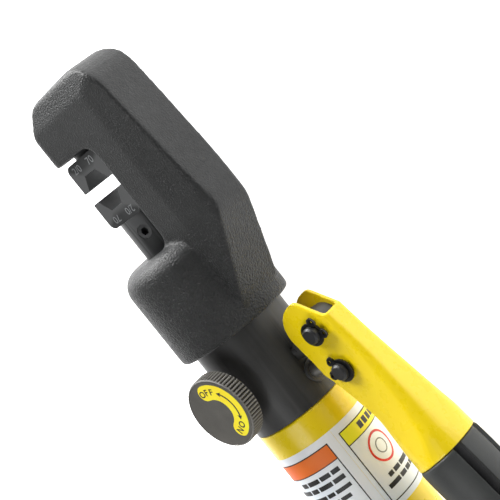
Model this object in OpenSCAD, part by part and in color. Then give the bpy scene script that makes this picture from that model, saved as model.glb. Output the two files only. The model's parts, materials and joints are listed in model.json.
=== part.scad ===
// Hand-operated hydraulic crimping tool with a C-shaped head.
// The parts are drawn upright in tool coordinates: +z runs along the ram towards the head,
// +x points at the back of the head and the moving handle, -y is the side with the release knob.
// lay() then puts the tool on its side: x = tool z, y = -tool x, z = -tool y.

/* [Head] */
// Radius of the round collar at the foot of the head
collar_r = 26.3; // [25.5:0.1:29]
// Thickness of the jaws, measured along the cable
jaw_t = 24; // [22:0.5:28]
// Thickness of the spine at the back of the head
spine_t = 19; // [14:0.5:21]
// Distance from the tool axis to the back of the spine
spine_back = 44; // [43:0.5:50]
// Distance from the crimp centre to the crown of the head
head_top = 43.6; // [41:0.2:50]
// Distance from the tool axis to the open side of the hook
hook_reach = 14.6; // [13:0.2:18]
// Distance from the crimp centre to the roof of the slot
slot_roof = 17; // [16.5:0.1:20]
// Distance from the crimp centre to the floor of the slot
slot_floor = 32.5; // [31:0.5:36]
// Distance from the tool axis to the wall of the slot
slot_wall = 12.2; // [11.8:0.1:15]
// Distance from the crimp centre to the underside of the collar
collar_foot = 74.9; // [74:0.1:80]

/* [Dies and ram] */
// Open gap between the two dies at rest
die_gap = 5.2; // [5:0.1:8]
// Height of each die
die_h = 12.7; // [11:0.1:13]
// Length of each die along the cable
die_len = 20; // [16:1:22]
// Distance across the flats of the hexagonal crimp nest
nest_across = 13; // [8:0.5:15]
// Radius of the ram
ram_r = 11.4; // [11:0.1:11.6]
// Radius of the piston
piston_r = 17; // [16:0.1:17.5]

/* [Pump body] */
// Radius of the neck
neck_r = 21; // [20:0.1:22]
// Distance from the crimp centre to the top of the barrel
barrel_top = 115.5; // [115:0.5:122]
// Distance from the crimp centre to the release knob's axis
knob_z = 95.2; // [93:0.1:96]
// Radius of the release knob
knob_r = 15.6; // [13:0.1:17]
// Distance from the tool axis to the face of the release knob
knob_face = 34.1; // [32:0.1:38]

/* [Lever] */
// Distance from the tool axis to the pivot pin
pivot_x = 41; // [40:0.5:46]
// Distance from the crimp centre to the pivot pin
pivot_z = 91.3; // [90:0.1:93]
// Distance between the pivot pin and the plunger drive pin
pin_gap = 17.6; // [17:0.1:18]
// Angle between the lever and the tool axis at rest
splay = 10; // [8:0.5:14]
// Outside width of the lever channel at the ears
channel_w = 11.5; // [11:0.1:13]
// Sheet thickness of the lever channel
sheet = 1.8; // [1.2:0.1:2]
// Outside radius of the round socket that carries the grip
socket_r = 14.2; // [13.8:0.1:15]
// Length of the lever from the pivot pin to the end of its grip
lever_len = 206; // [180:1:240]

/* [Barrel] */
// Outside radius of the reservoir barrel
barrel_r = 21.1; // [20.5:0.1:22]
// Distance from the crimp centre to the foot of the end cap
barrel_foot = 290; // [270:1:320]
// Length of the rubber grip on the barrel
fixed_grip_len = 96; // [80:1:110]

/* [Hidden] */

$fn = 96;
fit = 0.05;           // radial clearance of sliding and seated round parts
arc_steps = 6;        // straight runs in each rounded corner of an outline
past = 1;             // how far a cut runs past the faces it opens
thick_to = 27;        // the jaws keep their full thickness up to here, then thin towards the spine
crown_from = 33;      // and up to here, then thin towards the crown
shoulder_r = 8.5;     // round at the top of the collar
spigot_r = 19.5;      // threaded top of the pump body, inside the collar
spigot_h = 8.9;
bore_top = 40;        // depth of the cylinder's roof below the crimp centre
piston_top = 50;      // depth of the piston's upper face at rest
piston_h = 6;
button_r = 4;         // round button that locates each die
button_h = 8;
seat_r = 9;
die_half = 11;        // half width of a die
die_round = 3;        // round of a die's seated corners
wiper_r = 13.4;
wiper_gap = 2.1;      // roof of the wiper's groove below the slot's floor
wiper_t = 2.3;
ram_seal_t = 2.8;
ram_seal_in = 1.9;
hex_r = 1.7;          // corner radius of the small hexagon sockets
grub_r = 3;
ram_screw_z = 22.6;   // depth of the set screw that holds the lower die
ram_screw_turn = 22;  // angle of that screw, from the front towards the back of the head
pin_rise = 3.4;       // how far the drive pin climbs as the lever opens
drive_z = pivot_z + pin_gap;
plunger_z = drive_z - pin_rise;
plunger_r = 3.6;
chamber_r = 3.9;
gland_r = 5.2;
gland_in = 14;        // inner end of the gland, from the tool axis
seal_in = 11.2;       // inner end of the plunger's seal, from the tool axis
gallery_r = 2;
oilway_r = 1.3;
ball_r = 2.2;
valve_r = 2.6;        // bore round a check ball
inlet_drop = 17;      // inlet ball below the plunger
outlet_rise = 9.5;    // outlet ball above the plunger
screen_drop = 20;     // top of the suction screen below the plunger
screen_r = 5;
relief_z = 84;        // depth of the relief valve
relief_r = 3.5;
relief_sink = 1.2;    // head of the relief screw below the neck's skin
relief_screw_in = 6;  // inner end of that screw below the neck's skin
relief_seat = 8.4;    // seat of the relief ball, from the tool axis
relief_ball_r = 1.5;
spindle_r = 4;
spindle_tip = 12.2;   // inner end of the spindle, from the tool axis
o_ring_out = 17;      // groove of the spindle's ring, from the tool axis
o_ring_in = 15.4;
o_ring_wire = 0.6;
release_ball_out = 9.6;
drain_out = 12;       // oilway from the release valve down to the reservoir
stem_r = 6;
knob_t = 7;
ribs = 60;
rib_r = 0.45;
pin_r = 3.5;
pin_half = 10;
clip_y = 7.4;
clip_t = 1;
slot_play = 0.35;     // clearance round the drive pin in the plunger's eye
eye_t = 7.4;
lug_t = 7.6;
lug_r = 7.2;
lug_foot_z = pivot_z + 1.9;   // depth of the lug's upper edge where it meets the neck
stud_r = 4;           // stud that holds the lug in the neck
stud_z = pivot_z + 3.6;
stud_in = 6.9;        // depth of that stud in the neck
web_u = 6.4;          // centre of the channel's rounded back, across the lever
tube_r = 12.3;
tube_wall = 1.8;
socket_from = 50;     // start of the round socket, along the lever
cone_len = 26;        // length of the taper that joins the channel to the socket
cone_tip_r = 8;
channel_foot = 62;    // where the folded section ends inside the socket
channel_inner = 44;   // where the channel's hollow ends
grip_from = 66;       // start of the rubber grip, along the lever
lever_grip_r = 15;
barrel_wall = 3;
barrel_in = barrel_r - barrel_wall;
block_foot = 140;     // depth of the pump block's foot inside the barrel
bladder_r = 14.5;
bladder_wall = 1.5;
bladder_top = 158;
bladder_foot = 262;
bladder_neck_r = 9;
bladder_neck_top = 144.5;
clamp_top = 147;
clamp_h = 6;
fixed_grip_r = 23;
cap_rise = 12;        // height of the end cap's rim above the tool's foot
cap_spigot = 24;      // height of the cap's spigot above the tool's foot
cap_seal_rise = 18;   // lower edge of the seal's groove above the tool's foot
cap_seal_h = 2;
cap_seal_in = 1.6;
plug_r = 5;
plug_sink = 0.6;      // foot of the plug above the cap's face
plug_top = 7.9;
label_t = 0.2;
label_top = 127;      // depth of the labels' upper edge
label_foot = 168;
label_seam = -32.5;   // angle of the gap between the two labels, from the lever's side
label_gap = 1.5;      // in degrees
work_sweep = 103;     // angle covered by each label
care_sweep = 91;

function unit(v) = v / norm(v);
function flat(c) = [c[0], c[1]];

// Points of the arc that rounds one corner of an outline.
function corner_arc(before, corner, after, r) =
    let (
        back = unit(before - corner),
        ahead = unit(after - corner),
        half = acos(back * ahead) / 2,
        turn = 180 - 2 * half,
        centre = corner + unit(back + ahead) * r / sin(half),
        first = unit(corner + back * r / tan(half) - centre),
        last = unit(corner + ahead * r / tan(half) - centre)
    )
    [for (k = [0:arc_steps])
        centre + r * (first * sin((1 - k / arc_steps) * turn) + last * sin(k / arc_steps * turn)) / sin(turn)];

// Closed outline through corners given as [across, along, radius].
function rounded(corners) =
    let (n = len(corners))
    [for (i = [0:n - 1])
        each corner_arc(flat(corners[(i + n - 1) % n]), flat(corners[i]), flat(corners[(i + 1) % n]), corners[i][2])];

module lay() {
    rotate([-90, 0, 0])
        rotate([0, 90, 0])
            children();
}

// Prism whose outline lies in the x-z plane, centred on y = 0.
module slab(points, t) {
    rotate([90, 0, 0])
        linear_extrude(height = t, center = true)
            polygon(points);
}

// Upright rod between two depths below the crimp centre.
module rod(r, top, foot) {
    translate([0, 0, -foot])
        cylinder(r = r, h = foot - top);
}

module ring(r_out, r_in, top, foot) {
    difference() {
        rod(r_out, top, foot);
        rod(r_in, top - past, foot + past);
    }
}

module cross_rod(r, from_x, to_x, depth) {
    translate([from_x, 0, -depth])
        rotate([0, 90, 0])
            cylinder(r = r, h = to_x - from_x);
}

module front_rod(r, from_y, to_y, x, depth) {
    translate([x, from_y, -depth])
        rotate([-90, 0, 0])
            cylinder(r = r, h = to_y - from_y);
}

// Turned body with rounded rims at the top and at the foot.
module turned(r, top, foot, top_round, foot_round) {
    translate([0, 0, -foot])
        rotate_extrude()
            union() {
                square([r - top_round, foot - top]);
                translate([0, foot_round])
                    square([r, foot - top - top_round - foot_round]);
                translate([r - top_round, foot - top - top_round])
                    intersection() {
                        circle(r = top_round);
                        square(top_round);
                    }
                intersection() {
                    translate([r - foot_round, foot_round])
                        circle(r = foot_round);
                    translate([r - foot_round, 0])
                        square([foot_round, foot_round]);
                }
            }
}

// Stack of round wire rings that stands for a coil spring.
module coil(r, wire, turns, length) {
    for (i = [0:turns - 1])
        translate([0, 0, wire + i * (length - 2 * wire) / (turns - 1)])
            rotate_extrude()
                translate([r, 0])
                    circle(r = wire, $fn = 24);
}

// Along-the-lever frame: origin on the pivot pin, +x outwards, -z towards the grip.
module on_lever() {
    translate([pivot_x, 0, -pivot_z])
        rotate([0, -splay, 0])
            children();
}

module head_outline_prism() {
    slab(rounded([
        [-hook_reach, slot_roof, 3],
        [-hook_reach, head_top - 14, 7],
        [-4.5, head_top - 1.2, 10],
        [37, head_top + 0.4, 15],
        [spine_back + 1.6, -31, 14],
        [25, -68, 2],
        [-20, -68, 2],
        [-20, slot_roof - 60, 2],
        [-8, slot_roof - 55, 2],
        [-8, slot_roof, 0.5]
    ]), jaw_t + 10);
}

module head_section_prism() {
    half = jaw_t / 2;
    thin = spine_t / 2;
    translate([0, 0, -80])
        linear_extrude(height = 140)
            polygon(rounded([
                [-hook_reach, -half, 4],
                [thick_to, -half, 7],
                [spine_back + 1.6, -thin, 4.5],
                [spine_back + 1.6, thin, 4.5],
                [thick_to, half, 7],
                [-hook_reach, half, 4]
            ]));
}

module head_crown_prism() {
    half = jaw_t / 2;
    rotate([90, 0, 90])
        linear_extrude(height = 140, center = true)
            polygon(rounded([
                [-half, -90, 1],
                [half, -90, 1],
                [half, crown_from, 6],
                [spine_t / 2, head_top + 0.1, 4],
                [-spine_t / 2, head_top + 0.1, 4],
                [-half, crown_from, 6]
            ]));
}

module head_frame() {
    color([0.16, 0.16, 0.16])
        lay()
            difference() {
                union() {
                    intersection() {
                        head_outline_prism();
                        head_section_prism();
                        head_crown_prism();
                    }
                    turned(collar_r, slot_floor, collar_foot, shoulder_r, 2);
                }
                slab(rounded([
                    [-40, slot_roof, 1],
                    [slot_wall, slot_roof, 6],
                    [slot_wall, -slot_floor, 5.5],
                    [-40, -slot_floor, 1]
                ]), jaw_t + 10);
                rod(ram_r + fit, slot_floor - 6, bore_top + past);
                rod(wiper_r + 0.1, slot_floor + wiper_gap - 0.1, slot_floor + wiper_gap + wiper_t + 0.1);
                rod(piston_r + fit, bore_top, collar_foot);
                rod(spigot_r + fit, collar_foot - spigot_h - 0.1, collar_foot + past);
                rod(button_r + fit, -slot_roof - button_h - 0.5, -slot_roof + past);
                rod(grub_r + fit, -head_top - past, -slot_roof);
            }
}

// Die block with half of the hexagonal nest open at its lower face.
module die_block() {
    across = nest_across - die_gap;
    flat_half = nest_across / sqrt(3) / 2;
    difference() {
        slab(rounded([
            [-die_half, die_gap / 2, 0.6],
            [die_half, die_gap / 2, 0.6],
            [die_half, die_gap / 2 + die_h, die_round],
            [-die_half, die_gap / 2 + die_h, die_round]
        ]), die_len);
        slab([
            [-flat_half * 2, die_gap / 2 - past],
            [-flat_half * 2, die_gap / 2],
            [-flat_half, die_gap / 2 + across / 2 + 2],
            [flat_half, die_gap / 2 + across / 2 + 2],
            [flat_half * 2, die_gap / 2],
            [flat_half * 2, die_gap / 2 - past]
        ], die_len + 2 * past);
    }
}

module upper_die() {
    die_top = die_gap / 2 + die_h;
    color([0.2, 0.2, 0.21])
        lay()
            difference() {
                union() {
                    die_block();
                    rod(seat_r, -slot_roof, -die_top + past);
                    rod(button_r, -slot_roof - button_h, -die_top + past);
                }
                rod(hex_r, -slot_roof - button_h - past, -slot_roof - button_h + 5);
            }
}

module upper_die_screw() {
    color([0.35, 0.35, 0.36])
        lay()
            difference() {
                union() {
                    rod(grub_r, -head_top + 2, -slot_roof - button_h - 0.5);
                    rod(1.6, -head_top + 2, -slot_roof - button_h + 4.5);
                }
                translate([0, 0, head_top - 5])
                    cylinder(r = hex_r, h = 6, $fn = 6);
            }
}

module rod_wiper() {
    color([0.1, 0.1, 0.1])
        lay()
            ring(wiper_r, ram_r + fit, slot_floor + wiper_gap, slot_floor + wiper_gap + wiper_t);
}

module at_ram_screw() {
    rotate([0, 0, ram_screw_turn])
        translate([0, 0, -ram_screw_z])
            rotate([90, 0, 0])
                children();
}

module ram() {
    ram_top = die_gap / 2 + die_h;
    color([0.22, 0.22, 0.23])
        lay()
            difference() {
                union() {
                    rod(ram_r, ram_top, piston_top + past);
                    rod(piston_r, piston_top, piston_top + piston_h);
                }
                rod(button_r + fit, ram_top - past, ram_top + button_h + 0.5);
                at_ram_screw()
                    cylinder(r = grub_r + fit, h = ram_r + past);
                ring(piston_r + past, piston_r - ram_seal_in - 0.1, piston_top + 1.5, piston_top + ram_seal_t + 1.7);
            }
}

module lower_die() {
    color([0.2, 0.2, 0.21])
        lay()
            difference() {
                union() {
                    mirror([0, 0, 1])
                        die_block();
                    rod(button_r, die_gap / 2 + die_h - past, die_gap / 2 + die_h + button_h);
                }
                at_ram_screw()
                    translate([0, 0, button_r - 1.2])
                        cylinder(r = grub_r + 0.2, h = ram_r);
            }
}

module ram_set_screw() {
    color([0.3, 0.3, 0.31])
        lay()
            at_ram_screw()
                difference() {
                    translate([0, 0, button_r - 1])
                        cylinder(r = grub_r, h = ram_r - button_r + 0.4);
                    translate([0, 0, ram_r - 3.2])
                        cylinder(r = hex_r, h = 6, $fn = 6);
                }
}

module piston_seal() {
    color([0.1, 0.1, 0.1])
        lay()
            ring(piston_r + fit / 2, piston_r - ram_seal_in, piston_top + 1.6, piston_top + ram_seal_t + 1.6);
}

module ram_spring() {
    color([0.5, 0.5, 0.5])
        lay()
            translate([0, 0, -piston_top + 0.1])
                coil(14.2, 0.9, 4, piston_top - bore_top - 0.2);
}

module pump_body() {
    color([0.13, 0.13, 0.13])
        lay()
            difference() {
                union() {
                    rod(spigot_r, collar_foot - spigot_h, collar_foot + past);
                    rod(neck_r, collar_foot, barrel_top);
                    rod(barrel_in - fit, barrel_top - past, block_foot);
                }
                rod(gallery_r, collar_foot - spigot_h - past, plunger_z);
                rod(valve_r, plunger_z - outlet_rise - 4.5, plunger_z - outlet_rise + 2.5);
                cross_rod(chamber_r, -5, neck_r + past, plunger_z);
                cross_rod(gland_r + fit, seal_in - 0.2, neck_r + past, plunger_z);
                rod(oilway_r, plunger_z, block_foot - 2);
                rod(valve_r, plunger_z + inlet_drop - 8, plunger_z + screen_drop);
                rod(screen_r, plunger_z + screen_drop - 0.5, block_foot + past);
                front_rod(spindle_r + fit, -neck_r - past, -7, 0, knob_z);
                front_rod(oilway_r, -8, 0, 0, knob_z);
                translate([0, -drain_out, 0])
                    rod(oilway_r, knob_z, block_foot + past);
                cross_rod(relief_r + fit, -neck_r - past, -8, relief_z);
                cross_rod(oilway_r, -9, 0, relief_z);
                cross_rod(stud_r + fit, neck_r - stud_in - 0.1, neck_r + past, stud_z);
            }
}

module relief_screw() {
    color([0.55, 0.5, 0.35])
        lay()
            difference() {
                cross_rod(relief_r, -neck_r + relief_sink, -neck_r + relief_screw_in, relief_z);
                cross_rod(hex_r, -neck_r, -neck_r + 3, relief_z, $fn = 6);
            }
}

module relief_spring() {
    color([0.5, 0.5, 0.5])
        lay()
            translate([-neck_r + relief_screw_in + 0.1, 0, -relief_z])
                rotate([0, 90, 0])
                    coil(1.8, 0.4, 4, 3.6);
}

module relief_ball() {
    color([0.6, 0.6, 0.6])
        lay()
            translate([-relief_seat - relief_ball_r, 0, -relief_z])
                sphere(r = relief_ball_r, $fn = 32);
}

module outlet_ball() {
    color([0.6, 0.6, 0.6])
        lay()
            translate([0, 0, -plunger_z + outlet_rise])
                sphere(r = ball_r, $fn = 32);
}

module outlet_spring() {
    color([0.5, 0.5, 0.5])
        lay()
            translate([0, 0, -plunger_z + outlet_rise + ball_r + 0.1])
                coil(1.9, 0.3, 3, 2.1);
}

module inlet_ball() {
    color([0.6, 0.6, 0.6])
        lay()
            translate([0, 0, -plunger_z - inlet_drop])
                sphere(r = ball_r, $fn = 32);
}

module inlet_spring() {
    color([0.5, 0.5, 0.5])
        lay()
            translate([0, 0, -plunger_z - inlet_drop + ball_r + 0.2])
                coil(1.9, 0.3, 4, 5);
}

module suction_screen() {
    color([0.6, 0.5, 0.3])
        lay()
            ring(screen_r - fit, 1.5, plunger_z + screen_drop, block_foot);
}

// Round knob with a fine grip all round its rim and a shallow dish in its face.
module release_knob() {
    color([0.2, 0.2, 0.19])
        lay()
            translate([0, 0, -knob_z])
                difference() {
                    union() {
                        front_rod(knob_r - rib_r, -knob_face + 0.8, -knob_face + knob_t, 0, 0);
                        front_rod(knob_r - 1.5, -knob_face, -knob_face + knob_t, 0, 0);
                        front_rod(stem_r, -knob_face + 1, -neck_r - 2.2, 0, 0);
                        for (i = [0:ribs - 1])
                            rotate([0, i * 360 / ribs, 0])
                                front_rod(rib_r * 1.4, -knob_face + 0.8, -knob_face + knob_t, knob_r - rib_r * 1.4, 0,
                                    $fn = 8);
                    }
                    front_rod(knob_r - 2.4, -knob_face - past, -knob_face + 0.5, 0, 0);
                    front_rod(spindle_r - 1 + fit, -knob_face + 3, -neck_r, 0, 0);
                }
}

// Curved plate with rounded ends that shows which way the knob turns.
module knob_decal() {
    mid_r = 9;
    half_w = 2.9;
    spread = 58;
    color([0.95, 0.85, 0.1])
        lay()
            translate([0, -knob_face + 0.5, -knob_z])
                rotate([90, 0, 0])
                    linear_extrude(height = 0.3)
                        rotate([0, 0, 10])
                            union() {
                                difference() {
                                    circle(r = mid_r + half_w);
                                    circle(r = mid_r - half_w);
                                    rotate([0, 0, spread])
                                        translate([-20, 0])
                                            square([40, 20]);
                                    rotate([0, 0, 180 - spread])
                                        translate([-20, 0])
                                            square([40, 20]);
                                }
                                for (side = [-1, 1])
                                    rotate([0, 0, side * spread])
                                        translate([mid_r, 0])
                                            circle(r = half_w, $fn = 48);
                            }
}

module release_spindle() {
    color([0.5, 0.5, 0.5])
        lay()
            difference() {
                union() {
                    front_rod(spindle_r, -neck_r - 2, -spindle_tip, 0, knob_z);
                    front_rod(spindle_r - 1, -knob_face + 3, -neck_r - 1, 0, knob_z);
                }
                difference() {
                    front_rod(spindle_r + past, -o_ring_out, -o_ring_in, 0, knob_z);
                    front_rod(spindle_r - 2 * o_ring_wire, -o_ring_out - past, -o_ring_in + past, 0, knob_z);
                }
            }
}

module spindle_o_ring() {
    color([0.1, 0.1, 0.1])
        lay()
            translate([0, -(o_ring_out + o_ring_in) / 2, -knob_z])
                rotate([90, 0, 0])
                    rotate_extrude()
                        translate([spindle_r - o_ring_wire + 0.02, 0])
                            circle(r = o_ring_wire, $fn = 24);
}

module release_ball() {
    color([0.6, 0.6, 0.6])
        lay()
            translate([0, -release_ball_out, -knob_z])
                sphere(r = ball_r, $fn = 32);
}

// Flat lug on a stud in the neck; its upper edge slopes down to the neck.
module pivot_lug() {
    color([0.25, 0.25, 0.26])
        lay()
            difference() {
                union() {
                    front_rod(lug_r, -lug_t / 2, lug_t / 2, pivot_x, pivot_z);
                    difference() {
                        slab([
                            [neck_r - 3, -lug_foot_z],
                            [neck_r + 1, -lug_foot_z],
                            [pivot_x - 9, lug_r - pivot_z - 0.4],
                            [pivot_x, lug_r - pivot_z],
                            [pivot_x, -lug_r - pivot_z],
                            [neck_r - 3, -lug_r - pivot_z]
                        ], lug_t);
                        rod(neck_r + fit, collar_foot, barrel_top);
                    }
                    cross_rod(stud_r, neck_r - stud_in, neck_r + 2, stud_z);
                }
                front_rod(pin_r + fit, -lug_t, lug_t, pivot_x, pivot_z);
            }
}

module lever_pin(depth) {
    front_rod(pin_r, -pin_half, pin_half, pivot_x, depth);
}

module pin_groove(depth) {
    for (side = [-1, 1])
        translate([0, side * clip_y, 0])
            difference() {
                front_rod(pin_r + past, -clip_t / 2, clip_t / 2, pivot_x, depth);
                front_rod(pin_r - 0.6, -clip_t, clip_t, pivot_x, depth);
            }
}

module pivot_pin() {
    color([0.3, 0.3, 0.3])
        lay()
            difference() {
                lever_pin(pivot_z);
                pin_groove(pivot_z);
            }
}

module drive_pin() {
    color([0.3, 0.3, 0.3])
        lay()
            difference() {
                lever_pin(drive_z);
                pin_groove(drive_z);
            }
}

module circlip(gap_turn) {
    difference() {
        rotate([90, 0, 0])
            cylinder(r = pin_r + 2, h = clip_t - 0.1, center = true);
        rotate([90, 0, 0])
            cylinder(r = pin_r - 0.55, h = 3, center = true);
        rotate([0, gap_turn, 0])
            translate([0, -3, -0.9])
                cube([10, 6, 1.8]);
    }
}

module pin_clips() {
    color([0.12, 0.12, 0.12])
        lay()
            for (side = [-1, 1]) {
                translate([pivot_x, side * clip_y, -pivot_z])
                    circlip(-50);
                translate([pivot_x, side * clip_y, -drive_z])
                    circlip(130);
            }
}

// Round plunger with a flat eye; the eye's slot lets the drive pin climb as the lever swings.
module plunger() {
    eye_top = -drive_z + 5.5 + pin_rise;
    eye_foot = -drive_z - 6;
    slot_half = pin_r + slot_play;
    color([0.6, 0.6, 0.6])
        lay()
            difference() {
                union() {
                    cross_rod(plunger_r, 4, pivot_x - 4, plunger_z);
                    slab(rounded([
                        [pivot_x - 8, eye_foot, 3],
                        [pivot_x + 6.5, eye_foot, 3],
                        [pivot_x + 6.5, eye_top, 3],
                        [pivot_x - 8, eye_top, 3]
                    ]), eye_t);
                }
                front_rod(slot_half, -eye_t, eye_t, pivot_x, drive_z);
                front_rod(slot_half, -eye_t, eye_t, pivot_x, drive_z - pin_rise);
                translate([pivot_x - slot_half, -eye_t, -drive_z])
                    cube([2 * slot_half, 2 * eye_t, pin_rise]);
            }
}

module plunger_gland() {
    color([0.3, 0.3, 0.3])
        lay()
            difference() {
                cross_rod(gland_r, gland_in, neck_r + 0.5, plunger_z);
                cross_rod(plunger_r + fit, seal_in, neck_r + past, plunger_z);
            }
}

module plunger_seal() {
    color([0.1, 0.1, 0.1])
        lay()
            difference() {
                cross_rod(gland_r, seal_in, gland_in - 0.2, plunger_z);
                cross_rod(plunger_r + fit / 2, seal_in - past, gland_in, plunger_z);
            }
}

// Cross-section of the folded channel, drawn across the lever: round back, open towards the barrel.
module channel_section(half_w) {
    union() {
        translate([web_u, 0])
            circle(r = half_w);
        translate([-20, -half_w])
            square([20 + web_u, 2 * half_w]);
    }
}

module channel_side_prism() {
    slab(rounded([
        [-14, 14, 12.5],
        [1.5, 14, 4],
        [9.4, 2.8, 2],
        [web_u + channel_w / 2 + 1, -22, 20],
        [web_u + channel_w / 2 + 1, -62, 2],
        [-10.8, -62, 2],
        [-11.2, -36, 10],
        [-14.6, -14, 8]
    ]), 40);
}

module lever_channel() {
    half_w = channel_w / 2;
    color([0.93, 0.83, 0.1])
        lay()
            difference() {
                on_lever()
                    difference() {
                        union() {
                            intersection() {
                                translate([0, 0, -channel_foot])
                                    linear_extrude(height = channel_foot + 18)
                                        channel_section(half_w);
                                channel_side_prism();
                            }
                            translate([0, 0, -socket_from])
                                cylinder(r1 = socket_r, r2 = cone_tip_r, h = cone_len);
                            translate([0, 0, -grip_from])
                                cylinder(r = socket_r, h = grip_from - socket_from + 0.01);
                        }
                        translate([0, 0, -channel_inner])
                            linear_extrude(height = channel_inner + 36)
                                channel_section(half_w - sheet);
                        translate([0, 0, -socket_from - 0.5])
                            cylinder(r1 = tube_r + fit, r2 = cone_tip_r - sheet, h = cone_len - 1);
                        translate([0, 0, -grip_from - past])
                            cylinder(r = tube_r + fit, h = grip_from - socket_from + past);
                    }
                front_rod(pin_r + fit, -20, 20, pivot_x, pivot_z);
                front_rod(pin_r + fit, -20, 20, pivot_x, drive_z);
            }
}

module lever_tube() {
    color([0.3, 0.3, 0.3])
        lay()
            on_lever()
                difference() {
                    translate([0, 0, -lever_len + 4])
                        cylinder(r = tube_r, h = lever_len - 4 - socket_from - 0.5);
                    translate([0, 0, -lever_len])
                        cylinder(r = tube_r - tube_wall, h = lever_len);
                }
}

// Soft sleeve with a closed, rounded end and three shallow finger waves.
module lever_grip() {
    color([0.12, 0.12, 0.12])
        lay()
            on_lever()
                difference() {
                    turned(lever_grip_r, grip_from + 0.2, lever_len, 1.2, 5);
                    translate([0, 0, -lever_len + 3.9])
                        cylinder(r = tube_r + fit, h = lever_len);
                    for (side = [-1, 1])
                        translate([-4, side * lever_grip_r, -lever_len + 12])
                            cylinder(r = 1.6, h = lever_len, $fn = 32);
                }
}

module barrel() {
    color([0.93, 0.83, 0.1])
        lay()
            difference() {
                turned(barrel_r, barrel_top + 0.1, barrel_foot - cap_rise, 1.2, 0.5);
                rod(barrel_in, barrel_top - past, barrel_foot);
            }
}

module label_sheet(top, foot, turn, sweep) {
    rotate([0, 0, turn])
        translate([0, 0, -foot])
            rotate_extrude(angle = sweep)
                translate([barrel_r + 0.02, 0])
                    square([label_t, foot - top]);
}

module barrel_labels() {
    color([0.93, 0.92, 0.88])
        lay() {
            label_sheet(label_top, label_foot, label_seam - work_sweep - 2, work_sweep);
            label_sheet(label_top, label_foot, label_seam + label_gap, care_sweep);
        }
}

module oil_bladder() {
    color([0.15, 0.15, 0.15])
        lay()
            difference() {
                union() {
                    turned(bladder_r, bladder_top, bladder_foot, 6, 12);
                    rod(bladder_neck_r, bladder_neck_top, bladder_top + 2);
                }
                turned(bladder_r - bladder_wall, bladder_top + bladder_wall, bladder_foot - bladder_wall, 5, 11);
                rod(bladder_neck_r - bladder_wall, bladder_neck_top - past, bladder_top + 4);
            }
}

module bladder_clamp() {
    color([0.5, 0.5, 0.5])
        lay()
            ring(bladder_neck_r + 2, bladder_neck_r + fit, clamp_top, clamp_top + clamp_h);
}

module fixed_grip() {
    color([0.12, 0.12, 0.12])
        lay()
            difference() {
                turned(fixed_grip_r, barrel_foot - fixed_grip_len, barrel_foot - cap_rise - 0.5, 1.5, 1);
                rod(barrel_r + fit, barrel_top, barrel_foot);
            }
}

module end_cap() {
    color([0.15, 0.15, 0.15])
        lay()
            difference() {
                union() {
                    turned(fixed_grip_r, barrel_foot - cap_rise + 0.1, barrel_foot, 0.8, 4);
                    rod(barrel_in - fit, barrel_foot - cap_spigot, barrel_foot - cap_rise + 2);
                }
                rod(barrel_in - 4, barrel_foot - cap_spigot - past, barrel_foot - plug_top - 0.1);
                rod(plug_r + fit, barrel_foot - plug_top - past, barrel_foot + past);
                ring(barrel_in + past, barrel_in - cap_seal_in, barrel_foot - cap_seal_rise - cap_seal_h,
                    barrel_foot - cap_seal_rise);
            }
}

module cap_seal() {
    color([0.1, 0.1, 0.1])
        lay()
            ring(barrel_in - fit / 2, barrel_in - cap_seal_in + fit, barrel_foot - cap_seal_rise - cap_seal_h + 0.1,
                barrel_foot - cap_seal_rise - 0.1);
}

module fill_plug() {
    color([0.6, 0.5, 0.3])
        lay()
            difference() {
                rod(plug_r, barrel_foot - plug_top, barrel_foot - plug_sink);
                translate([0, 0, -barrel_foot - past])
                    cylinder(r = 2.9, h = 4.5, $fn = 6);
            }
}

head_frame();
upper_die();
upper_die_screw();
rod_wiper();
ram();
lower_die();
ram_set_screw();
piston_seal();
ram_spring();
pump_body();
relief_screw();
relief_spring();
relief_ball();
outlet_ball();
outlet_spring();
inlet_ball();
inlet_spring();
suction_screen();
release_knob();
knob_decal();
release_spindle();
spindle_o_ring();
release_ball();
pivot_lug();
pivot_pin();
drive_pin();
pin_clips();
plunger();
plunger_gland();
plunger_seal();
lever_channel();
lever_tube();
lever_grip();
barrel();
barrel_labels();
oil_bladder();
bladder_clamp();
fixed_grip();
end_cap();
cap_seal();
fill_plug();
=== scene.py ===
"""Looks for the hydraulic crimping tool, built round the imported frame.

Shapes are drawn in tool coordinates, in millimetres: +z runs along the ram towards the head, +x points at
the back of the head and the lever, and -y is the release knob's side. TOOL turns them into the row's frame.
"""
import json
import math

import bmesh
import bpy
from mathutils import Matrix, Vector


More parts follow.
